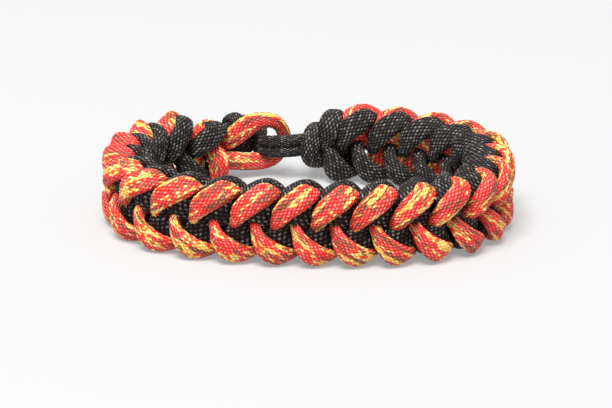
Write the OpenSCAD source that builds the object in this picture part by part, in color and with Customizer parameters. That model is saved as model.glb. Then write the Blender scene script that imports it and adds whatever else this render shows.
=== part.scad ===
/* [Band plan] */
// from the woven centre line's middle to its left end, seen from the front
band_left_reach = 43.1; // [40:0.1:45]
// from the woven centre line's middle to its right end
band_right_reach = 40.5; // [38:0.1:44]
// half of the woven centre line's depth, front to back
band_half_depth = 28.3; // [26:0.1:31]
// how square the front of the oval is (2 is an ellipse)
front_squareness = 2.6; // [2.3:0.1:2.8]
// how square the back of the oval is
back_squareness = 2.25; // [2.1:0.05:2.5]
// height of the band, lower edge to upper edge
band_height = 19.4; // [18.8:0.1:21]

/* [Weave] */
// length of band that one full figure of eight takes
pitch = 8.6; // [8.5:0.05:9]
// half figures of eight in the patterned strand
camo_halves = 45; // [41:2:45]
// half figures of eight in the black strand
black_halves = 47; // [43:2:47]
// all cord widths and thicknesses against the tables
cord_fullness = 0.97; // [0.9:0.01:0.98]

/* [Closure] */
// height of the closure loop's cord against its table
loop_cord = 1; // [0.85:0.05:1]
// cord size of the two lacing ends against their table
lacing_cord = 1; // [0.85:0.05:1]

/* [Hidden] */
camo_red = [0.83, 0.22, 0.12];
cord_black = [0.12, 0.12, 0.13];
plan_steps = 360;
half_height = band_height / 2;
table_half_height = 9.7;
// where the strands start and stop, in half figures from the front middle
first_camo_half = -22;
last_camo_half = first_camo_half + camo_halves - 1;
first_black_half = -30;
last_black_half = first_black_half + black_halves - 1;
// distance from the front middle to the vertex of camo half figure 0
camo_vertex = 2.4;
// the vertex of each cord stands this part of a pitch from the turning axis
vertex_shift = 0.875;
// from the plan's own middle to the middle of the whole bracelet, and down to its lowest cord
middle_shift = [-1.3, 2.72, 0.526];
// small gap where one length of strand meets the next
joint_gap = 0.1;

// one half figure of eight, from the centre hole over the edge and back
// columns: along (pitches), up, out, wide, thick, then the way the flat faces: along, up, out
ALONG = 0;
UP = 1;
OUT = 2;
WIDE = 3;
THICK = 4;
FACE_ALONG = 5;
FACE_UP = 6;
FACE_OUT = 7;
half_figure = [
    [0.00, -0.5,  0.5, 2.9, 1.6, -1.0, 0.0,  0.0],
    [0.03,  0.9,  2.8, 3.1, 2.0, -0.9, 0.2,  0.3],
    [0.14,  2.8,  4.3, 4.4, 2.2, -0.5, 0.1,  0.8],
    [0.35,  5.0,  4.6, 5.3, 2.3,  0.0, 0.1,  1.0],
    [0.59,  6.5,  3.9, 5.5, 2.3,  0.3, 0.4,  0.85],
    [0.79,  7.4,  1.8, 5.0, 2.2,  0.6, 0.8,  0.1],
    [0.88,  7.0, -0.5, 3.8, 2.0,  0.4, 0.6, -0.7],
    [0.78,  5.2, -1.6, 4.2, 1.9, -0.1, 0.1, -1.0],
    [0.58,  2.7, -1.6, 3.5, 1.8, -0.8, 0.0, -0.7]
];

// the superellipse that the band follows, from the front middle, seen from above turning left
function signed_power(value, power) = sign(value) * pow(abs(value), power);
function plan_squareness(angle) = sin(angle) < 0 ? front_squareness : back_squareness;
function plan_point(angle) = [
    (cos(angle) < 0 ? band_left_reach : band_right_reach)
        * signed_power(cos(angle), 2 / plan_squareness(angle)),
    band_half_depth * signed_power(sin(angle), 2 / plan_squareness(angle))
];
plan = [for (i = [0 : plan_steps]) plan_point(i * 360 / plan_steps - 90)];
plan_along = [
    for (i = 0, total = 0; i <= plan_steps;
        total = total + (i < plan_steps ? norm(plan[i + 1] - plan[i]) : 0), i = i + 1)
    total
];
plan_length = plan_along[plan_steps];
// the left and the right half take the same share of the weave, so the longer one is woven looser
plan_right_length = plan_along[plan_steps / 2];
plan_share = [
    for (along = plan_along)
    along < plan_right_length
        ? along / plan_right_length * plan_length / 2
        : plan_length - (plan_length - along) / (plan_length - plan_right_length) * plan_length / 2
];
plan_x = [for (i = [0 : plan_steps]) [plan_share[i], plan[i].x]];
plan_y = [for (i = [0 : plan_steps]) [plan_share[i], plan[i].y]];
function wrapped(along) = along - plan_length * floor(along / plan_length);
function plan_at(along) = [
    lookup(wrapped(along), plan_x),
    lookup(wrapped(along), plan_y)
];
heading_step = 1;
function plan_heading(along) =
    let (step = plan_at(along + heading_step) - plan_at(along - heading_step))
    step / norm(step);

// band coordinates (along, up, out) to the part's frame
function placed(point) =
    let (
        along = crept(point.x),
        base = plan_at(along),
        heading = plan_heading(along)
    )
    [
        base.x + point.z * heading.y - middle_shift.x,
        base.y - point.z * heading.x - middle_shift.y,
        half_height + point.y * half_height / table_half_height - middle_shift.z
    ];

// halves that are shaped otherwise where the weave starts and stops
// columns: half, vertex moved along (mm), height, lean and slant of its turn, fullness of its cord
HALF_NUMBER = 0;
MOVED = 1;
HEIGHT = 2;
LEAN = 3;
SLANT = 4;
FULLNESS = 5;
camo_end_halves = [
    [-22, -0.8, 0.46, 1.0, 1.0, 1.0],
    [ 20,  0.0, 1.0, 1.05, 1.0, 1.0],
    [ 22,  0.0, 1.0, 1.08, 1.0, 1.0]
];
black_end_halves = [
    [-30, -3.6, 1.00, 0.3, 0.0, 1.0],
    [-29,  0.0, 1.02, 0.9, 0.6, 1.0],
    [ 16,  0.1, 0.62, 1.05, 1.0, 0.9]
];
regular = [0, 0, 1, 1, 1, 1];
function end_half(table, k) =
    let (found = [for (row = table) if (row[HALF_NUMBER] == k) row])
    len(found) > 0 ? found[0] : regular;

// how far the weave has crept along the band, between the places where it was measured
// columns: along, crept (mm)
creep = [[-36, -0.6], [-15, 0], [30, 0.6], [55, 0.6], [90, 2.5], [107, 2.4], [116.35, 0]];
function crept(along) = along + lookup(along, creep);

// half figure number k of a strand; odd ones are turned upside down
is_turn = 0.3;
function figure_half(k, table) =
    let (
        flip = k % 2 == 0 ? 1 : -1,
        shape = end_half(table, k)
    )
    [
        for (row = half_figure)
        let (slant = row[FACE_UP] > is_turn ? shape[SLANT] : 1)
        [
            camo_vertex + (k / 2 + row[ALONG] * shape[LEAN]) * pitch - shape[MOVED],
            flip * row[UP] * shape[HEIGHT], row[OUT],
            row[WIDE] * shape[FULLNESS], row[THICK],
            row[FACE_ALONG] * slant, flip * row[FACE_UP], row[FACE_OUT]
        ]
    ];
function figure_rows(first, last, table) = [for (k = [first : last]) each figure_half(k, table)];

// the black strand is the same figure turned half round about the upright axis
turning_axis = camo_vertex - vertex_shift * pitch;
function turned(row) = [
    2 * turning_axis - row[ALONG],
    row[UP], -row[OUT], row[WIDE], row[THICK],
    -row[FACE_ALONG], row[FACE_UP], -row[FACE_OUT]
];
function black_rows(first, last) =
    [for (row = figure_rows(first, last, black_end_halves)) turned(row)];

// flattened cord section, eight corners as parts of the width and thickness
cord_corners = [
    [0.5, 0.2], [0.32, 0.5], [-0.32, 0.5], [-0.5, 0.2],
    [-0.5, -0.2], [-0.32, -0.5], [0.32, -0.5], [0.5, -0.2]
];
corner_count = len(cord_corners);

function centre(row) = [row[ALONG], row[UP], row[OUT]];
function facing(row) = [row[FACE_ALONG], row[FACE_UP], row[FACE_OUT]];
function direction(rows, i) =
    let (step = centre(rows[min(i + 1, len(rows) - 1)]) - centre(rows[max(i - 1, 0)]))
    step / norm(step);
function ring(rows, i, size, gap = 0) =
    let (
        row = rows[i],
        ahead = direction(rows, i),
        raw_face = facing(row) - (facing(row) * ahead) * ahead,
        face = raw_face / norm(raw_face),
        side = cross(ahead, face)
    )
    [
        for (corner = cord_corners)
        placed(centre(row) + gap * ahead
            + corner.x * row[WIDE] * size * side
            + corner.y * row[THICK] * size * face)
    ];

// each side of a cord is split along the diagonal that stays nearer its middle
function split(points, middle, a, b) =
    let (
        c = a + corner_count,
        d = b + corner_count,
        one = norm((points[a] + points[d]) / 2 - middle),
        other = norm((points[b] + points[c]) / 2 - middle)
    )
    one < other ? [[a, b, d], [a, d, c]] : [[a, b, c], [b, d, c]];

// a cord swept through rows first to last, its start held back by a small gap
module cord(all_rows, size = 1, first = 0, last_row = undef, gap = 0) {
    stop = is_undef(last_row) ? len(all_rows) - 1 : last_row;
    rows = [for (i = [first : stop]) all_rows[i]];
    middles = [for (row = rows) placed(centre(row))];
    points = [
        for (i = [first : stop])
        each ring(all_rows, i, size, i == first ? gap : 0)
    ];
    last = (len(rows) - 1) * corner_count;
    sides = [
        for (i = [0 : len(rows) - 2], j = [0 : corner_count - 1])
        each split(points, (middles[i] + middles[i + 1]) / 2,
            i * corner_count + j, i * corner_count + (j + 1) % corner_count)
    ];
    start_cap = [for (j = [corner_count - 1 : -1 : 0]) j];
    end_cap = [for (j = [0 : corner_count - 1]) last + j];
    polyhedron(points, concat(sides, [start_cap], [end_cap]));
}

// rows eased between the table's rows, so that a short table still bends round
function eased(rows, i, part) =
    let (
        before = rows[max(i - 1, 0)],
        from = rows[i],
        to = rows[min(i + 1, len(rows) - 1)],
        after = rows[min(i + 2, len(rows) - 1)]
    )
    0.5 * (2 * from + (to - before) * part
        + (2 * before - 5 * from + 4 * to - after) * part * part
        + (3 * from - before - 3 * to + after) * part * part * part);
function bent(rows, steps) = [
    for (i = [0 : len(rows) - 2], n = [0 : steps - 1]) eased(rows, i, n / steps),
    rows[len(rows) - 1]
];

// past its last half figure the patterned strand goes down into one more hole, where it is held
tail_rows = 2;
camo_tail = figure_half(last_camo_half + 1, camo_end_halves);
all_camo = concat(
    figure_rows(first_camo_half, last_camo_half, camo_end_halves),
    [for (i = [0 : tail_rows - 1]) camo_tail[i]]
);
all_black = black_rows(first_black_half, last_black_half);
rows_a_half = len(half_figure);
camo_middle = floor(camo_halves / 2) * rows_a_half;
black_middle = floor(black_halves / 2) * rows_a_half;

// the patterned strand's first rows are the end of the closure loop
loop_takes = 2;

module camo_strand_left() {
    color(camo_red)
    cord(all_camo, cord_fullness, loop_takes, camo_middle);
}

module camo_strand_right() {
    color(camo_red)
    cord(all_camo, cord_fullness, camo_middle, len(all_camo) - 1, joint_gap);
}

module black_strand_left() {
    color(cord_black)
    cord(all_black, cord_fullness, black_middle, len(all_black) - 1, joint_gap);
}

module black_strand_right() {
    color(cord_black)
    cord(all_black, cord_fullness, 0, black_middle);
}

// closure tables start at the last black vertex and run on round the back
weave_stop = 2 * turning_axis - camo_vertex - first_black_half / 2 * pitch;
weave_start = camo_vertex + first_camo_half / 2 * pitch + plan_length;
table_gap = 21.23;
gap_stretch = (weave_start - weave_stop) / table_gap;
function closure_row(row) = [
    for (c = [0 : FACE_OUT])
    c == ALONG ? weave_stop + row[ALONG] * gap_stretch : row[c]
];
function closure_rows(table) = [for (row = table) closure_row(row)];
function sized(rows, size) = [
    for (row = rows)
    [for (c = [0 : FACE_OUT]) c == WIDE || c == THICK ? row[c] * size : row[c]]
];

// bight of patterned cord: upper leg, round the end, lower leg, then once round itself
// columns as in the half figure, but along is in mm
loop_table = [
    [22.5,  1.1,  3.7, 4.0, 2.0, -0.4, -0.3,  0.9],
    [21.5,  0.1,  1.8, 3.6, 2.0, -0.6, -0.2,  0.8],
    [19.2,  1.9,  0.6, 4.4, 2.3, -0.2,  0.0,  1.0],
    [16.0,  4.3,  0.6, 4.7, 2.4,  0.0,  0.0,  1.0],
    [13.2,  5.2,  0.6, 3.9, 2.4,  0.0,  0.0,  1.0],
    [10.5,  4.9,  1.0, 3.4, 2.4,  0.1,  0.0,  1.0],
    [ 8.6,  3.1,  1.8, 3.1, 2.4,  0.2,  0.0,  1.0],
    [ 7.8,  0.4,  2.4, 3.2, 2.4,  0.2,  0.0,  1.0],
    [ 8.4, -2.2,  2.4, 3.4, 2.4,  0.2,  0.0,  1.0],
    [10.2, -4.4,  1.9, 3.9, 2.4,  0.1,  0.0,  1.0],
    [12.8, -5.2,  1.0, 4.0, 2.4,  0.0,  0.0,  1.0],
    [16.4, -5.0,  0.1, 4.1, 2.4,  0.0,  0.0,  1.0],
    [20.2, -4.4, -0.5, 4.2, 2.3,  0.0,  0.0,  1.0],
    [23.1, -4.3, -0.5, 3.9, 2.1, -0.1,  0.0,  1.0],
    [24.9, -4.9,  0.5, 3.4, 1.9, -0.5, -0.4,  0.7],
    [25.1, -6.2,  2.0, 3.4, 1.9, -0.2, -0.8,  0.6],
    [24.4, -7.4,  2.4, 3.6, 1.8, -0.2, -0.7,  0.7],
    [24.0, -8.1,  0.3, 3.8, 2.0,  0.0, -1.0,  0.0],
    [24.3, -7.8, -2.1, 3.9, 2.0,  0.0, -0.8, -0.6],
    [24.8, -6.4, -3.9, 4.3, 2.2,  0.1, -0.4, -0.9],
    [25.0, -4.2, -4.5, 4.6, 2.2,  0.2, -0.1, -1.0],
    [25.2, -2.1, -4.1, 4.5, 2.2,  0.3, -0.1, -0.9],
    [25.6, -1.0, -3.7, 3.8, 2.0,  0.5,  0.0, -0.8],
    [25.9, -0.4, -3.2, 3.2, 1.6,  0.7,  0.0, -0.6]
];
loop_steps = 2;
module closure_loop() {
    color(camo_red)
    cord(sized(bent(closure_rows(loop_table), loop_steps), loop_cord));
}

// two lacing ends side by side: out of the end knot, in front of the bight, through it, to the stopper
// columns as above; up is the middle between the two
lacing_table = [
    [ 0.7, -0.6,  0.0, 2.5, 2.3,  0.0, 0.0, 1.0],
    [ 2.6, -0.6, -0.3, 2.5, 2.3,  0.0, 0.0, 1.0],
    [ 4.6, -0.6, -1.4, 2.6, 2.3,  0.3, 0.0, 1.0],
    [ 6.8, -0.6, -2.0, 2.6, 2.3,  0.1, 0.0, 1.0],
    [ 9.2, -0.7, -1.9, 2.6, 2.3, -0.2, 0.0, 1.0],
    [11.2, -0.9, -1.2, 2.4, 2.3, -0.5, 0.0, 0.9],
    [12.8, -0.8,  0.4, 2.2, 2.2, -0.7, 0.0, 0.6],
    [13.3, -0.7,  1.9, 2.1, 2.1, -0.8, 0.0, 0.5],
    [13.5, -0.6,  3.1, 2.0, 2.0, -0.8, 0.0, 0.5]
];
// the two ends lie this part of their width from the middle, along the way they are wide
lacing_apart = 0.52;
function beside(rows, way) = [
    for (i = [0 : len(rows) - 1])
    let (
        row = rows[i],
        ahead = direction(rows, i),
        raw_face = facing(row) - (facing(row) * ahead) * ahead,
        side = cross(ahead, raw_face / norm(raw_face)),
        shift = side * way * lacing_apart * row[WIDE]
    )
    [for (c = [0 : FACE_OUT]) c < WIDE ? row[c] + shift[c] : row[c]]
];
lacing_steps = 1;
module lacing_cord_upper() {
    color(cord_black)
    cord(sized(beside(bent(closure_rows(lacing_table), lacing_steps), -1), lacing_cord));
}

module lacing_cord_lower() {
    color(cord_black)
    cord(sized(beside(bent(closure_rows(lacing_table), lacing_steps), 1), lacing_cord));
}

// wide wrap that closes the weave round the lacing ends
wrap_middle = [0.5, -0.9, 0];
wrap_reach = [0.9, 4.5, 3.7];
// how far the wrap's top leans towards the weave
wrap_lean = 0.3;
wrap_wide = 4.2;
wrap_thick = 2.2;
wrap_rings = 16;
wrap_turn = 352;
function wrap_row(angle) = [
    wrap_middle.x + wrap_reach.x * cos(2 * angle) - wrap_lean * sin(angle),
    wrap_middle.y + wrap_reach.y * sin(angle),
    wrap_middle.z + wrap_reach.z * cos(angle),
    wrap_wide, wrap_thick, 0, sin(angle), cos(angle)
];
module end_knot() {
    color(cord_black)
    cord(closure_rows([for (i = [0 : wrap_rings]) wrap_row(i * wrap_turn / wrap_rings)]));
}

// stopper: a ball knot behind the bight, its cord three times round the ball over and under itself
ball_middle = [17.0, -0.6, 8.0];
ball_axis = [0.79, 0.09, 0.61];
ball_radius = 4.1;
// how far the cord goes out and in where it crosses itself
ball_weave = 1.1;
// how far up and down from the ball's middle the cord swings, as an angle
ball_reach = 60;
ball_turns = 3;
ball_swings = 4;
ball_twist = 46;
ball_rings = 60;
ball_wide = 2.0;
ball_thick = 1.2;
ball_full_way = 352;
ball_side = cross(ball_axis, [0, 0, 1]) / norm(cross(ball_axis, [0, 0, 1]));
ball_front = cross(ball_side, ball_axis) / norm(ball_axis);
function ball_row(angle) =
    let (
        lift = ball_reach * cos(ball_swings * angle),
        round = ball_turns * angle + ball_twist,
        level = cos(round) * ball_side + sin(round) * ball_front,
        outward = cos(lift) * level + sin(lift) * ball_axis / norm(ball_axis),
        spot = ball_middle + outward * (ball_radius + ball_weave * sin(2 * ball_swings * angle))
    )
    [spot.x, spot.y, spot.z, ball_wide, ball_thick, outward.x, outward.y, outward.z];
module stopper_knot() {
    color(cord_black)
    cord(closure_rows([for (i = [0 : ball_rings]) ball_row(i * ball_full_way / ball_rings)]));
}

camo_strand_left();
camo_strand_right();
black_strand_left();
black_strand_right();
closure_loop();
end_knot();
lacing_cord_upper();
lacing_cord_lower();
stopper_knot();
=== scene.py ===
import math

import bpy
import numpy as np
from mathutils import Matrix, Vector
from mathutils.bvhtree import BVHTree


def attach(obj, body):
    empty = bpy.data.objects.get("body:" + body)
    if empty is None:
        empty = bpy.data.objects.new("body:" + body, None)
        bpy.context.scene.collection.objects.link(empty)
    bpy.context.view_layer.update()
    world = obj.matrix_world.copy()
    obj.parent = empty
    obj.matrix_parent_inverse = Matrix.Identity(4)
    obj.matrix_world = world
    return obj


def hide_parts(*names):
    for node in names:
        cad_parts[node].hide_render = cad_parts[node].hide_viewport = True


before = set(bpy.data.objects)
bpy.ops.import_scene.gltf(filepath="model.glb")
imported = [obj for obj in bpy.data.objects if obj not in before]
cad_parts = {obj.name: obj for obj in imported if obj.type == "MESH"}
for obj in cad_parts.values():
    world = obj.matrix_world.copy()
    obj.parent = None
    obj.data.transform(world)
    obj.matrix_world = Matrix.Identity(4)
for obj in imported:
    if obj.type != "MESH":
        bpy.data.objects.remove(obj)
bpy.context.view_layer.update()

# The woven patterned cord. A cord, most likely nylon, with a plaited sheath in red, yellow and dark
# brown, flattened by the weave. It is woven by hand with a black one, in figures of eight, into an
# oval band about 18.5 mm high and 12 mm thick, and its arms lie on the outside.

# The band's oval, in millimetres: two superellipses that share their ends, flatter in front. A place on
# the band is so far along the oval from the front middle, up from mid height and out from the oval.
MM = 0.001
band_left_reach = 43.1
band_right_reach = 40.5
band_half_depth = 28.3
front_squareness = 2.6
back_squareness = 2.25
mid_height = 9.7
middle_shift = np.array([-1.3, 2.72, 0.526])
oval_step = 0.25
oval_angle = np.radians(np.arange(0.0, 360.1, oval_step) - 90.0)
oval_power = 2 / np.where(np.sin(oval_angle) < 0, front_squareness, back_squareness)
oval_reach = np.where(np.cos(oval_angle) < 0, band_left_reach, band_right_reach)
oval_x = oval_reach * np.sign(np.cos(oval_angle)) * np.abs(np.cos(oval_angle)) ** oval_power
oval_y = band_half_depth * np.sign(np.sin(oval_angle)) * np.abs(np.sin(oval_angle)) ** oval_power
oval_run = np.concatenate([[0.0], np.cumsum(np.hypot(np.diff(oval_x), np.diff(oval_y)))])
oval_length = oval_run[-1]
right_length = oval_run[len(oval_run) // 2]
oval_along = np.interp(oval_run, [0.0, right_length, oval_length], [0.0, oval_length / 2, oval_length])

# How far the weave has crept along the band from where an even one would be. Columns: along, moved.
creep = np.array([[-36, -0.6], [-15, 0], [30, 0.6], [55, 0.6], [90, 2.5], [107, 2.4], [116.35, 0]])


def oval_at(along):
    place = np.mod(along, oval_length)
    return np.stack([np.interp(place, oval_along, oval_x), np.interp(place, oval_along, oval_y)], -1)


heading_reach = 1.0


def band_frame(along):
    """Unit vectors of the band at each place along it: heading, up (the same for all) and outward."""
    step = oval_at(along + heading_reach) - oval_at(along - heading_reach)
    step /= np.linalg.norm(step, axis=1)[:, None]
    level = np.zeros(len(along))
    heading = np.stack([step[:, 0], step[:, 1], level], -1)
    outward = np.stack([step[:, 1], -step[:, 0], level], -1)
    return heading, np.array([0.0, 0.0, 1.0]), outward


def crept(along):
    return along + np.interp(along, creep[:, 0], creep[:, 1])


def band_points(places):
    """Band places (along, up, out) in millimetres to points of the bracelet's frame in metres."""
    heading, upward, outward = band_frame(crept(places[:, 0]))
    base = np.column_stack([oval_at(crept(places[:, 0])), np.full(len(places), mid_height)])
    return (base + places[:, 1:2] * upward + places[:, 2:3] * outward - middle_shift) * MM


# The weave's one repeat: the cord comes out of the centre hole, lies as an arm on the face, wraps the
# edge and goes back down a leg on the other face to the next hole. Row columns: along in pitches, up
# and out in millimetres, wide, thick, then the way the cord's flat faces as along, up and out.
along_column, up_column, _, wide_column, thick_column = range(5)
face_along_column, face_up_column, face_out_column = range(5, 8)
pitch = 8.6
half_figure = np.array([
    [0.00, -0.5,  0.5, 3.8, 2.6, -1.0, 0.0,  0.0],
    [0.03,  0.9,  2.8, 3.6, 2.3, -0.9, 0.2,  0.3],
    [0.14,  2.8,  4.3, 4.2, 2.4, -0.5, 0.1,  0.8],
    [0.35,  5.0,  4.6, 5.0, 2.7,  0.0, 0.1,  1.0],
    [0.59,  6.5,  3.9, 5.2, 2.6,  0.3, 0.4,  0.85],
    [0.79,  7.3,  1.8, 5.1, 2.5,  0.6, 0.8,  0.1],
    [0.88,  6.9, -0.5, 4.8, 2.4,  0.4, 0.6, -0.7],
    [0.78,  5.2, -1.6, 5.8, 2.3, -0.1, 0.1, -1.0],
    [0.57,  2.7, -1.6, 6.4, 2.3, -0.4, 0.0, -0.9],
])
rows_a_half = len(half_figure)
turn_from_up = 0.3
camo_vertex = 2.4
first_camo_half = -22
last_camo_half = 22
camo_tail = 2

# Half figures shaped otherwise, at the weave's ends. Columns: moved along, height, lean of the arm,
# slant of its turn, fullness of the cord.
plain_half = (0.0, 1.0, 1.0, 1.0, 1.0)
camo_end_halves = {
    -22: (-0.8, 0.46, 1.0, 1.0, 1.0),
    20: (0.0, 1.0, 1.15, 1.0, 1.0),
    22: (0.0, 1.0, 1.2, 1.0, 1.0),
}


def weave_rows(first, last, end_halves):
    rows = []
    for half in range(first, last + 1):
        moved, height, lean, slant, fullness = end_halves.get(half, plain_half)
        flip = 1 if half % 2 == 0 else -1
        one = half_figure.copy()
        one[:, along_column] = camo_vertex + (half / 2 + one[:, along_column] * lean) * pitch - moved
        one[:, up_column] *= flip * height
        one[:, wide_column] *= fullness
        one[:, face_along_column] *= np.where(one[:, face_up_column] > turn_from_up, slant, 1.0)
        one[:, face_up_column] *= flip
        rows.append(one)
    return np.concatenate(rows)


def eased_rows(rows, steps):
    """Rows with steps - 1 more between each two, on a curve through them all."""
    ends = np.concatenate([rows[:1], rows, rows[-1:]])
    before, start, stop, after = ends[:-3], ends[1:-2], ends[2:-1], ends[3:]
    eased = []
    for step in range(steps):
        t = step / steps
        eased.append(0.5 * (2 * start + (stop - before) * t
                            + (2 * before - 5 * start + 4 * stop - after) * t * t
                            + (3 * start - before - 3 * stop + after) * t ** 3))
    inner = np.stack(eased, 1).reshape(-1, rows.shape[1])
    return np.concatenate([inner, rows[-1:]])


class Field:
    """A socket of a node tree that takes + - * / and % as Math nodes."""

    def __init__(self, tree, socket):
        self.tree = tree
        self.socket = socket

    def math(self, operation, other=None):
        return self.tree.add("ShaderNodeMath", {"operation": operation}, {0: self, 1: other})[0]

    def __add__(self, other):
        return self.math("ADD", other)

    def __radd__(self, other):
        return self.math("ADD", other)

    def __sub__(self, other):
        return self.math("SUBTRACT", other)

    def __rsub__(self, other):
        return self.tree.add("ShaderNodeMath", {"operation": "SUBTRACT"}, {0: other, 1: self})[0]

    def __mul__(self, other):
        return self.math("MULTIPLY", other)

    def __rmul__(self, other):
        return self.math("MULTIPLY", other)

    def __truediv__(self, other):
        return self.math("DIVIDE", other)

    def __mod__(self, other):
        return self.math("FLOORED_MODULO", other)

    def floor(self):
        return self.math("FLOOR")

    def below(self, other):
        return self.math("LESS_THAN", other)

    def above(self, other):
        return self.math("GREATER_THAN", other)


class Tree:
    """A node tree, and one method that adds any node to it."""

    def __init__(self, tree):
        self.nodes = tree.nodes
        self.links = tree.links

    def add(self, kind, settings=None, sockets=None):
        """A node with its settings, then its sockets' values or links. Gives its outputs as Fields."""
        node = self.nodes.new(kind)
        for name, value in (settings or {}).items():
            if name == "capture_items":
                node.capture_items.new(value, "kept")
            else:
                setattr(node, name, value)
        for name, value in (sockets or {}).items():
            if isinstance(value, Field):
                self.links.new(value.socket, node.inputs[name])
            elif value is not None:
                node.inputs[name].default_value = value
        return [Field(self, out) for out in node.outputs]


# The sheath is plaited from yarns that run both ways round the cord, over one and under one. A yarn is
# highest along its middle and halfway along each stretch on top, and two fifths as high at the ends.
# The marks are numbers that tell the yarns apart, for the material's chances.
end_dip = 0.6
p_mark = 0.37
q_mark = 0.11
q_mark_step = 1.7


def plait(along_cells, around_cells):
    """How high the top yarn stands at a place, its mark, which yarn it crosses, and how far across."""
    p = along_cells + around_cells
    q = along_cells - around_cells
    p_yarn = p.floor()
    q_yarn = q.floor()
    p_part = (p - p_yarn) * 2.0 - 1.0
    q_part = (q - q_yarn) * 2.0 - 1.0
    p_on_top = ((p_yarn + q_yarn) % 2.0).below(0.5)
    q_on_top = 1.0 - p_on_top
    across = p_on_top * p_part + q_on_top * q_part
    lengthways = p_on_top * q_part + q_on_top * p_part
    height = (1.0 - across * across) * (1.0 - end_dip * lengthways * lengthways)
    yarn = p_on_top * (p_yarn + p_mark) + q_on_top * (q_yarn * q_mark_step + q_mark)
    crossing = p_on_top * q_yarn + q_on_top * p_yarn
    return height, yarn, crossing, across


# The sheath's mesh: a flattened ring is swept along the cord's path and each yarn is raised on it. The
# ring is drawn for a cord of the usual size and then stretched to the width and thickness of each place.
cells_around = 14
faces_a_cell = 3
points_round = cells_around * faces_a_cell
cell_long = 1.3
yarn_rise = 0.22
usual_half_wide = 2.3
usual_half_thick = 1.2
ring_fineness = 128
ring_squareness = 2.5
ring_power = 2 / ring_squareness


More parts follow.
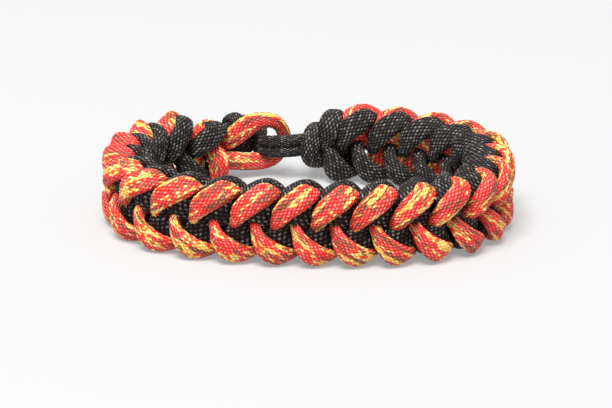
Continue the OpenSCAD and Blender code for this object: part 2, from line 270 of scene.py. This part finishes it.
def sheath_tree():
    group = bpy.data.node_groups.new("sheathed cord", "GeometryNodeTree")
    sockets = (("Geometry", "Geometry"), ("Rings", "Int"), ("Points round", "Int"), ("Yarn rise", "Float"),
               ("Material", "Material"))
    for name, kind in sockets:
        group.interface.new_socket(name, in_out="INPUT", socket_type="NodeSocket" + kind)
    group.interface.new_socket("Geometry", in_out="OUTPUT", socket_type="NodeSocketGeometry")
    tree = Tree(group)
    path, rings, round_count, rise_by, material, _ = tree.add("NodeGroupInput")

    def kept(geometry, kind, value):
        """The geometry with a value captured on its points, and that value."""
        settings = {"domain": "POINT", "capture_items": kind}
        return tree.add("GeometryNodeCaptureAttribute", settings, {0: geometry, 1: value})[:2]

    def stored(name, kind):
        return tree.add("GeometryNodeInputNamedAttribute", {"data_type": kind}, {"Name": name})[0]

    def vector(operation, one, other=None):
        return tree.add("ShaderNodeVectorMath", {"operation": operation}, {0: one, 1: other})

    def scaled(one, factor):
        return tree.add("ShaderNodeVectorMath", {"operation": "SCALE"}, {0: one, "Scale": factor})[0]

    path = tree.add("GeometryNodeMeshToCurve", None, {"Mesh": path})[0]
    path = tree.add("GeometryNodeResampleCurve", None, {"Curve": path, "Count": rings})[0]
    path, centre = kept(path, "VECTOR", tree.add("GeometryNodeInputPosition")[0])
    path, ahead = kept(path, "VECTOR", tree.add("GeometryNodeInputTangent")[0])
    path, wide = kept(path, "FLOAT", stored("wide", "FLOAT"))
    path, thick = kept(path, "FLOAT", stored("thick", "FLOAT"))
    path, facing = kept(path, "VECTOR", stored("facing", "FLOAT_VECTOR"))
    path, ring = kept(path, "FLOAT", tree.add("GeometryNodeInputIndex")[0])

    circle = {"Resolution": ring_fineness, "Radius": 1.0}
    loop = tree.add("GeometryNodeCurvePrimitiveCircle", None, circle)[0]
    x, y, _ = tree.add("ShaderNodeSeparateXYZ", None, {0: tree.add("GeometryNodeInputPosition")[0]})
    flattened = tree.add("ShaderNodeCombineXYZ", None, {
        0: y.math("SIGN") * y.math("ABSOLUTE").math("POWER", ring_power) * -usual_half_wide,
        1: x.math("SIGN") * x.math("ABSOLUTE").math("POWER", ring_power) * -usual_half_thick,
    })[0]
    loop = tree.add("GeometryNodeSetPosition", None, {"Geometry": loop, "Position": flattened})[0]
    loop = tree.add("GeometryNodeResampleCurve", None, {"Curve": loop, "Count": round_count})[0]
    loop, section = kept(loop, "VECTOR", tree.add("GeometryNodeInputPosition")[0])
    loop, spot = kept(loop, "FLOAT", tree.add("GeometryNodeInputIndex")[0])

    swept = {"Curve": path, "Profile Curve": loop, "Fill Caps": True}
    skin = tree.add("GeometryNodeCurveToMesh", None, swept)[0]
    across_part, face_part, _ = tree.add("ShaderNodeSeparateXYZ", None, {0: section})
    lean = vector("DOT_PRODUCT", facing, ahead)[1]
    upright = vector("SUBTRACT", facing, scaled(ahead, lean))[0]
    upright = vector("NORMALIZE", upright)[0]
    sideways = vector("CROSS_PRODUCT", ahead, upright)[0]
    along_cells = ring / faces_a_cell
    around_cells = spot / faces_a_cell
    height, _, _, _ = plait(along_cells, around_cells)
    rise = (height - 0.5) * rise_by
    side_reach = across_part / usual_half_wide * (wide * 0.5 + rise)
    face_reach = face_part / usual_half_thick * (thick * 0.5 + rise)
    from_centre = vector("ADD", scaled(sideways, side_reach), scaled(upright, face_reach))[0]
    place = vector("ADD", centre, from_centre)[0]
    skin = tree.add("GeometryNodeSetPosition", None, {"Geometry": skin, "Position": place})[0]

    # the ring's last faces end where its first ones start, so there the count goes on past a round
    face_middle = tree.add("GeometryNodeFieldOnDomain", {"domain": "FACE"}, {0: around_cells})[0]
    past_seam = around_cells.below(0.5 / faces_a_cell) * face_middle.above(cells_around / 4)
    cells = {0: along_cells, 1: around_cells + past_seam * cells_around}
    sheath_uv = tree.add("ShaderNodeCombineXYZ", None, cells)[0]
    skin = tree.add("GeometryNodeStoreNamedAttribute", {"data_type": "FLOAT2", "domain": "CORNER"},
                    {"Geometry": skin, "Name": "sheath", "Value": sheath_uv})[0]
    skin = tree.add("GeometryNodeSetShadeSmooth", None, {"Geometry": skin, "Shade Smooth": True})[0]
    skin = tree.add("GeometryNodeRealizeInstances", None, {"Geometry": skin})[0]
    skin = tree.add("GeometryNodeSetMaterial", None, {"Geometry": skin, "Material": material})[0]
    tree.add("NodeGroupOutput", None, {"Geometry": skin})
    return group


sheathed_cord = sheath_tree()
usual_steps = 8


def make_cord(name, rows, material, steps=usual_steps):
    """A sheathed cord through band rows, as a plain mesh."""
    fine = eased_rows(rows, steps)
    heading, upward, outward = band_frame(crept(fine[:, along_column]))
    facing = (fine[:, [face_along_column]] * heading + fine[:, [face_up_column]] * upward
              + fine[:, [face_out_column]] * outward)
    points = band_points(fine[:, :wide_column])
    path = bpy.data.meshes.new(name + " path")
    edges = [(i, i + 1) for i in range(len(points) - 1)]
    path.from_pydata(points.tolist(), edges, [])
    for label, column in (("wide", wide_column), ("thick", thick_column)):
        path.attributes.new(label, "FLOAT", "POINT").data.foreach_set("value", fine[:, column] * MM)
    path.attributes.new("facing", "FLOAT_VECTOR", "POINT").data.foreach_set("vector", facing.ravel())
    cord = bpy.data.objects.new(name, path)
    bpy.context.scene.collection.objects.link(cord)
    long = np.linalg.norm(np.diff(points, axis=0), axis=1).sum() / MM
    given = {
        "Rings": round(long / cell_long * faces_a_cell),
        "Points round": points_round,
        "Yarn rise": yarn_rise * MM,
        "Material": material,
    }
    sheath = cord.modifiers.new("sheath", "NODES")
    sheath.node_group = sheathed_cord
    for item in sheathed_cord.interface.items_tree:
        if item.in_out == "INPUT" and item.name in given:
            sheath[item.identifier] = given[item.name]
    bpy.context.view_layer.update()
    evaluated = cord.evaluated_get(bpy.context.evaluated_depsgraph_get())
    skin = bpy.data.meshes.new_from_object(evaluated)
    cord.modifiers.clear()
    cord.data = skin
    bpy.data.meshes.remove(path)
    return cord


def new_material(name, roughness, specular):
    material = bpy.data.materials.new(name)
    material.use_nodes = True
    shader = material.node_tree.nodes["Principled BSDF"]
    shader.inputs["Roughness"].default_value = roughness
    shader.inputs["Specular IOR Level"].default_value = specular
    return material, Tree(material.node_tree), shader


def mixed(tree, part, one, other):
    """Colour one where part is 0, other where it is 1."""
    return tree.add("ShaderNodeMix", {"data_type": "RGBA"}, {0: part, 6: one, 7: other})[2]


def noise(tree, along, around, layer):
    place = tree.add("ShaderNodeCombineXYZ", None, {0: along, 1: around, 2: layer})[0]
    return tree.add("ShaderNodeTexNoise", {"noise_dimensions": "3D"},
                    {"Vector": place, "Scale": 1.0, "Detail": 1.0})[0]


def chance(tree, one, other, layer):
    place = tree.add("ShaderNodeCombineXYZ", None, {0: one, 1: other, 2: layer})[0]
    return tree.add("ShaderNodeTexWhiteNoise", {"noise_dimensions": "3D"}, {"Vector": place})[0]


def step_up(value, low, high):
    """0 below low, 1 above high, straight between."""
    return ((value - low) / (high - low)).math("MAXIMUM", 0.0).math("MINIMUM", 1.0)


def plaited(tree):
    """A point of the sheath in cells of the plait, along and around, and what plait says of it."""
    spot = tree.add("ShaderNodeUVMap", {"uv_map": "sheath"})[0]
    along, around, _ = tree.add("ShaderNodeSeparateXYZ", None, {0: spot})
    return along, around, plait(along, around)


# A yarn is a bundle of fine filaments that show as ridges along it.
filament_turns = 9.0
filament_height = 0.12
relief_height = 0.16 * MM


def sheath_relief(tree, shader, height, across, strength):
    ridges = (across * filament_turns).math("SINE") * filament_height
    bump = tree.add("ShaderNodeBump", None, {"Strength": strength, "Distance": relief_height,
                                             "Height": height + ridges * height})[0]
    tree.links.new(bump.socket, shader.inputs["Normal"])


# The pattern is dyed on the yarns: long yellow streaks and shorter brown patches on red. Sizes are
# cells of noise for each cell of the plait. A chance for each stretch of yarn on top moves the
# patches' edges and sets how strong a painted highlight its crest gets: a paler colour painted into
# the base colour where the yarn stands highest, in place of the light it would catch.
red = (0.76, 0.008, 0.005, 1)
yellow = (0.88, 0.47, 0.04, 1)
brown = (0.22, 0.038, 0.018, 1)
# painted highlights: paler colours painted on the yarns' crests, one for each dye
red_painted_highlight = (1.0, 0.48, 0.39, 1)
yellow_painted_highlight = (1.0, 0.94, 0.66, 1)
brown_painted_highlight = (0.52, 0.20, 0.12, 1)
streak_along = 0.12
streak_around = 0.42
patch_along = 0.15
patch_around = 0.75
patch_start = 40.0
yellow_from = 0.535
brown_from = 0.58
edge_softness = 0.015
edge_scatter = 0.22
camo_painted_highlight_from = 0.5
camo_painted_highlight_least = 0.15
painted_highlight_spread = 0.85


def camo_material():
    material, tree, shader = new_material("camo sheath", roughness=0.36, specular=0.3)
    along, around, (height, yarn, crossing, across) = plaited(tree)
    dither = chance(tree, yarn, crossing, layer=3.0)
    scatter = (dither - 0.5) * edge_scatter
    streak = noise(tree, along * streak_along, around * streak_around, layer=2.0) + scatter
    patch = noise(tree, along * patch_along + patch_start, around * patch_around, layer=9.0) + scatter
    is_yellow = step_up(streak, yellow_from, yellow_from + edge_softness)
    is_brown = step_up(patch, brown_from, brown_from + edge_softness)
    dyed = mixed(tree, is_brown, mixed(tree, is_yellow, red, yellow), brown)
    # painted highlight: the paler colour is mixed into the base colour on each yarn's crest, more where the
    # yarn stands higher
    painted_highlight = mixed(tree, is_brown, mixed(tree, is_yellow, red_painted_highlight, yellow_painted_highlight), brown_painted_highlight)
    painted_highlight_share = step_up(height, camo_painted_highlight_from, 1.0) * (camo_painted_highlight_least + painted_highlight_spread * dither)
    tree.links.new(mixed(tree, painted_highlight_share, dyed, painted_highlight).socket, shader.inputs["Base Color"])
    sheath_relief(tree, shader, height, across, strength=0.9)
    return material


# The cord is one length, taken here as a left and a right half that meet at the front middle. Its
# first two rows are left to the closure's loop, which is the same cord, and it ends two rows into one
# more half figure.
camo_sheath = camo_material()
camo_rows = weave_rows(first_camo_half, last_camo_half + 1, camo_end_halves)[:camo_tail - rows_a_half]
camo_middle = -first_camo_half * rows_a_half
loop_takes = 2
camo_left = make_cord("woven_camo_left", camo_rows[loop_takes:camo_middle + 1], camo_sheath)
camo_right = make_cord("woven_camo_right", camo_rows[camo_middle:], camo_sheath)
for piece, node in ((camo_left, "camo_strand_left"), (camo_right, "camo_strand_right")):
    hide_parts(node)
    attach(piece, "root")

# The woven black cord. The same make of cord in charcoal black, duller, and woven through the other
# one. It is the same figure turned half round, so that its arms lie on the inside of the band and
# its legs fill the outside, pressed thick where it goes through the centre holes.
vertex_shift = 0.875
turning_place = camo_vertex - vertex_shift * pitch
first_black_half = -30
last_black_half = 16
black_end_halves = {
    -30: (-3.6, 1.0, 0.3, 0.0, 1.0),
    -29: (0.0, 1.02, 0.9, 0.6, 1.1),
    -28: (0.3, 1.0, 1.0, 1.0, 1.0),
    16: (0.1, 0.62, 1.05, 1.0, 1.0),
}
# one number for each row of the half figure
black_widening = [1.25, 1.22, 1.12, 1.05, 1.0, 0.92, 0.95, 1.1, 1.18]
black_thickening = [1.5, 1.4, 1.1, 1.0, 1.0, 1.0, 1.0, 1.0, 1.1]
half_turn = np.array([-1, 1, -1, 1, 1, -1, 1, -1])
black = (0.010, 0.008, 0.007, 1)
# painted highlight: a grey painted on the black yarns' crests
black_painted_highlight = (0.34, 0.31, 0.29, 1)
black_painted_highlight_from = 0.55
black_painted_highlight_least = 0.12


def black_material():
    material, tree, shader = new_material("black sheath", roughness=0.6, specular=0.15)
    _, _, (height, yarn, crossing, across) = plaited(tree)
    dither = chance(tree, yarn, crossing, layer=5.0)
    # painted highlight: grey mixed into the black base colour on the yarns' crests, bright on a few of them
    spread = painted_highlight_spread * dither * dither
    painted_highlight_share = step_up(height, black_painted_highlight_from, 1.0) * (black_painted_highlight_least + spread)
    tree.links.new(mixed(tree, painted_highlight_share, black, black_painted_highlight).socket, shader.inputs["Base Color"])
    sheath_relief(tree, shader, height, across, strength=1.0)
    return material


black_sheath = black_material()
black_rows = weave_rows(first_black_half, last_black_half, black_end_halves) * half_turn
black_rows[:, along_column] += 2 * turning_place
black_halves = last_black_half - first_black_half + 1
black_rows[:, wide_column] *= np.tile(black_widening, black_halves)
black_rows[:, thick_column] *= np.tile(black_thickening, black_halves)
black_middle = black_halves // 2 * rows_a_half
black_right = make_cord("woven_black_right", black_rows[:black_middle + 1], black_sheath)
black_left = make_cord("woven_black_left", black_rows[black_middle:], black_sheath)
for piece, node in ((black_left, "black_strand_left"), (black_right, "black_strand_right")):
    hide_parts(node)
    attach(piece, "root")

# The closure's loop. The start of the patterned cord, doubled back as a bight nearly 20 mm long that
# the black ends go through. Its second arm goes round the weave's lower edge as a collar and is tucked
# in under the last black arm. Places along it are counted from where the weave stops.
weave_stop = 2 * turning_place - camo_vertex - first_black_half / 2 * pitch
loop_rows = np.array([
    [22.5,  1.2,  3.8, 4.2, 2.3, -0.4, -0.3,  0.9],
    [21.6, -0.1,  1.9, 4.2, 2.4, -0.6, -0.2,  0.8],
    [19.2,  1.9,  0.6, 4.9, 2.6, -0.2,  0.0,  1.0],
    [16.0,  4.3,  0.6, 5.0, 2.6,  0.0,  0.0,  1.0],
    [13.2,  5.2,  0.6, 4.0, 2.5,  0.0,  0.0,  1.0],
    [10.5,  4.9,  1.0, 3.5, 2.5,  0.1,  0.0,  1.0],
    [ 8.6,  3.1,  1.8, 3.2, 2.5,  0.2,  0.0,  1.0],
    [ 7.8,  0.4,  2.4, 3.4, 2.6,  0.2,  0.0,  1.0],
    [ 8.4, -2.2,  2.4, 3.6, 2.6,  0.2,  0.0,  1.0],
    [10.2, -4.4,  1.9, 4.1, 2.6,  0.1,  0.0,  1.0],
    [12.8, -5.2,  1.0, 4.2, 2.6,  0.0,  0.0,  1.0],
    [16.4, -5.0,  0.1, 4.3, 2.6,  0.0,  0.0,  1.0],
    [20.2, -4.4, -0.5, 4.4, 2.5,  0.0,  0.0,  1.0],
    [23.1, -4.2, -0.5, 4.3, 2.3, -0.1,  0.0,  1.0],
    [24.9, -4.9,  0.5, 3.6, 2.1, -0.5, -0.4,  0.7],
    [25.1, -6.2,  2.0, 3.6, 2.1, -0.2, -0.8,  0.6],
    [24.4, -7.5,  2.3, 3.8, 2.2, -0.2, -0.7,  0.7],
    [24.0, -8.1,  0.3, 4.0, 2.2,  0.0, -1.0,  0.0],
    [24.3, -7.8, -2.1, 4.1, 2.2,  0.0, -0.8, -0.6],
    [24.8, -6.4, -3.9, 4.5, 2.4,  0.1, -0.4, -0.9],
    [25.0, -4.2, -4.5, 4.9, 2.4,  0.2, -0.1, -1.0],
    [25.2, -2.1, -4.1, 4.9, 2.4,  0.3, -0.1, -0.9],
    [25.9, -0.5, -3.1, 4.2, 2.2,  0.5,  0.2, -0.7],
    [26.3,  0.4, -2.1, 3.6, 1.8,  0.7,  0.4, -0.5],
])
loop_rows[:, along_column] += weave_stop
closure_steps = 12
bight = make_cord("closure_bight", loop_rows, camo_sheath, closure_steps)
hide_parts("closure_loop")
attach(bight, "root")

# The lacing ends. The two free ends of the black cord, one over the other, which come out under the
# end knot, pass the loop's tip on its inner side and turn outwards through its hole to the stopper.
# The table is the middle line between them, and each lies to one side of it.
lacing_rows = np.array([
    [ 0.7, -0.6,  0.0, 2.7, 2.4,  0.0, 0.0, 1.0],
    [ 2.6, -0.6, -0.3, 2.7, 2.4,  0.0, 0.0, 1.0],
    [ 4.6, -0.6, -1.4, 2.8, 2.4,  0.3, 0.0, 1.0],
    [ 6.8, -0.6, -2.0, 2.8, 2.4,  0.1, 0.0, 1.0],
    [ 9.2, -0.7, -1.9, 2.8, 2.4, -0.2, 0.0, 1.0],
    [11.2, -0.9, -1.2, 2.7, 2.4, -0.5, 0.0, 0.9],
    [12.9, -0.9,  0.5, 2.5, 2.4, -0.7, 0.0, 0.6],
    [13.5, -0.8,  2.3, 2.4, 2.4, -0.8, 0.0, 0.5],
    [13.8, -0.7,  3.8, 2.2, 2.2, -0.8, 0.0, 0.5],
])
lacing_rows[:, along_column] += weave_stop
lacing_apart = 0.47


def beside(rows, way):
    """The rows moved sideways, by the same share of the cord's width all along."""
    places = rows[:, :wide_column]
    faces = rows[:, face_along_column:]
    ahead = np.gradient(places, axis=0)
    ahead /= np.linalg.norm(ahead, axis=1)[:, None]
    upright = faces - (faces * ahead).sum(1)[:, None] * ahead
    upright /= np.linalg.norm(upright, axis=1)[:, None]
    moved = rows.copy()
    moved[:, :wide_column] += np.cross(ahead, upright) * way * lacing_apart * rows[:, [wide_column]]
    return moved


lacings = []
for name, node, way in (("lacing_upper", "lacing_cord_upper", -1), ("lacing_lower", "lacing_cord_lower", 1)):
    lacing = make_cord(name, beside(lacing_rows, way), black_sheath, closure_steps)
    lacings.append(lacing)
    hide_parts(node)
    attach(lacing, "root")

# The end knot. One wide turn of the black cord round the weave's end, which keeps the weave from
# running out and holds the lacing ends. It is pulled tight, so it sways a little along the band.
wrap_points = 17
wrap_turn = 352
wrap_angle = np.radians(np.linspace(0, wrap_turn, wrap_points))
wrap_from_stop = 0.5
wrap_sway = 0.9
wrap_lean = 0.3
wrap_up = -0.9
wrap_half_high = 4.5
wrap_half_deep = 3.7
wrap_wide = 4.6
wrap_thick = 2.4
wrap_rows = np.column_stack([
    weave_stop + wrap_from_stop + wrap_sway * np.cos(2 * wrap_angle) - wrap_lean * np.sin(wrap_angle),
    wrap_up + wrap_half_high * np.sin(wrap_angle),
    wrap_half_deep * np.cos(wrap_angle),
    np.full(wrap_points, wrap_wide),
    np.full(wrap_points, wrap_thick),
    np.zeros(wrap_points),
    np.sin(wrap_angle),
    np.cos(wrap_angle),
])
wrap = make_cord("end_wrap", wrap_rows, black_sheath)
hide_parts("end_knot")
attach(wrap, "root")

# The stopper knot. A ball knot of the black cord over the lacing ends, behind the loop and too big for
# its hole. The cord goes three times round the ball while it swings four times towards each pole, and
# it passes over and under itself on the way.
ball_middle = np.array([17.0, -0.6, 8.0])
ball_axis = np.array([0.79, 0.09, 0.61])
ball_axis /= np.linalg.norm(ball_axis)
ball_side = np.cross(ball_axis, [0, 0, 1])
ball_side /= np.linalg.norm(ball_side)
ball_front = np.cross(ball_side, ball_axis)
ball_radius = 4.1
ball_weave = 0.8
ball_swing = math.radians(66)
ball_twist = math.radians(46)
ball_rounds = 3
ball_swings = 4
ball_points = 97
ball_done = 0.995
ball_steps = 4
ball_wide = 3.3
ball_thick = 1.8
ball_part = np.linspace(0, ball_done, ball_points) * 2 * math.pi
lift = ball_swing * np.cos(ball_swings * ball_part)[:, None]
round_angle = (ball_rounds * ball_part + ball_twist)[:, None]
level_out = np.cos(round_angle) * ball_side + np.sin(round_angle) * ball_front
ball_out = np.cos(lift) * level_out + np.sin(lift) * ball_axis
ball_far = ball_radius + ball_weave * np.sin(2 * ball_swings * ball_part)[:, None]
ball_rows = np.column_stack([
    ball_middle + ball_out * ball_far,
    np.full(ball_points, ball_wide),
    np.full(ball_points, ball_thick),
    ball_out,
])
ball_rows[:, along_column] += weave_stop
ball = make_cord("stopper_ball", ball_rows, black_sheath, ball_steps)
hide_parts("stopper_knot")
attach(ball, "root")

# The crossings. Where two cords cross they press each other flat. A point that lies inside another
# cord draws back towards the middle of its own, about half as far as it is deep and at most halfway,
# so that the two surfaces meet.
press_reach = 1.8 * MM
press_share = 0.55
press_most = 0.5
press_passes = 4


def press_cords(cords):
    shapes = []
    for cord in cords:
        spots = np.zeros(len(cord.data.vertices) * 3)
        cord.data.vertices.foreach_get("co", spots)
        spots = spots.reshape(-1, 3)
        faces = [tuple(face.vertices) for face in cord.data.polygons]
        shapes.append((cord, spots, BVHTree.FromPolygons(spots.tolist(), faces)))
    for cord, spots, _ in shapes:
        depth = np.zeros(len(spots))
        for other, other_spots, surface in shapes:
            if other is cord:
                continue
            close = (spots > other_spots.min(0)) & (spots < other_spots.max(0))
            for i in np.nonzero(close.all(1))[0]:
                spot = Vector(spots[i])
                nearest, facing, _, _ = surface.find_nearest(spot, press_reach)
                if nearest is not None:
                    depth[i] = max(depth[i], (nearest - spot).dot(facing))
        rings = spots.reshape(-1, points_round, 3)
        inward = (rings.mean(1, keepdims=True) - rings).reshape(-1, 3)
        room = np.linalg.norm(inward, axis=1)
        back = np.minimum(depth * press_share, room * press_most) / room
        cord.data.vertices.foreach_set("co", (spots + inward * back[:, None]).ravel())
        cord.data.update()


for _ in range(press_passes):
    press_cords([camo_left, camo_right, black_left, black_right, bight, wrap, ball] + lacings)

# The studio. A pale matt floor that glows a little, soft light all round and one broad lamp above,
# towards the front and a little to the left, as for a product picture on white.
floor_reach = 4.0
floor_corners = [(-floor_reach, -floor_reach, 0), (floor_reach, -floor_reach, 0),
                 (floor_reach, floor_reach, 0), (-floor_reach, floor_reach, 0)]
floor_mesh = bpy.data.meshes.new("floor")
floor_mesh.from_pydata(floor_corners, [], [(0, 1, 2, 3)])
floor = bpy.data.objects.new("floor", floor_mesh)
bpy.context.scene.collection.objects.link(floor)
floor_paint, _, floor_shader = new_material("pale floor", roughness=0.9, specular=0.0)
floor_shader.inputs["Base Color"].default_value = (0.343, 0.343, 0.343, 1)
floor_shader.inputs["Emission Color"].default_value = (0.97, 0.98, 0.98, 1)
floor_shader.inputs["Emission Strength"].default_value = 0.28
floor_mesh.materials.append(floor_paint)

world = bpy.data.worlds.new("studio")
bpy.context.scene.world = world
world.use_nodes = True
soft_light = world.node_tree.nodes["Background"]
soft_light.inputs["Color"].default_value = (1.0, 1.0, 1.0, 1)
soft_light.inputs["Strength"].default_value = 0.53
lamp_data = bpy.data.lights.new("broad lamp", "AREA")
lamp_data.shape = "RECTANGLE"
lamp_data.size = 1.75
lamp_data.size_y = 1.5
lamp_data.energy = 155.0
lamp = bpy.data.objects.new("broad lamp", lamp_data)
lamp.location = (-0.3, -1.125, 2.75)
lamp.rotation_euler = (-lamp.location).to_track_quat("-Z", "Y").to_euler()
bpy.context.scene.collection.objects.link(lamp)

# The photograph's camera. It stands 20 degrees up and a little to the right of the band's front. Its
# distance and aim are in millimetres, and its lens makes a millimetre at the aim 4.285 pixels.
camera_turn = math.radians(4.53)
camera_elevation = math.radians(20.0)
camera_far = 545.0
pixels_a_mm = 4.285
photo_wide = 612
aim = np.array([-1.84, 0.0, 3.75])
away = camera_far * np.array([0.0, -math.cos(camera_elevation), math.sin(camera_elevation)])
spin = np.array([
    [math.cos(camera_turn), -math.sin(camera_turn), 0],
    [math.sin(camera_turn), math.cos(camera_turn), 0],
    [0, 0, 1],
])
camera_data = bpy.data.cameras.new("camera")
camera_data.sensor_width = 36.0
camera_data.sensor_fit = "HORIZONTAL"
camera_data.lens = pixels_a_mm * camera_far / photo_wide * camera_data.sensor_width
camera_data.clip_start = 0.01
camera = bpy.data.objects.new("camera", camera_data)
camera.location = Vector((spin @ (aim + away) - middle_shift) * MM)
aim_at = Vector((spin @ aim - middle_shift) * MM)
camera.rotation_euler = (aim_at - camera.location).to_track_quat("-Z", "Y").to_euler()
bpy.context.scene.collection.objects.link(camera)
bpy.context.scene.camera = camera
bpy.context.scene.view_settings.view_transform = "Standard"
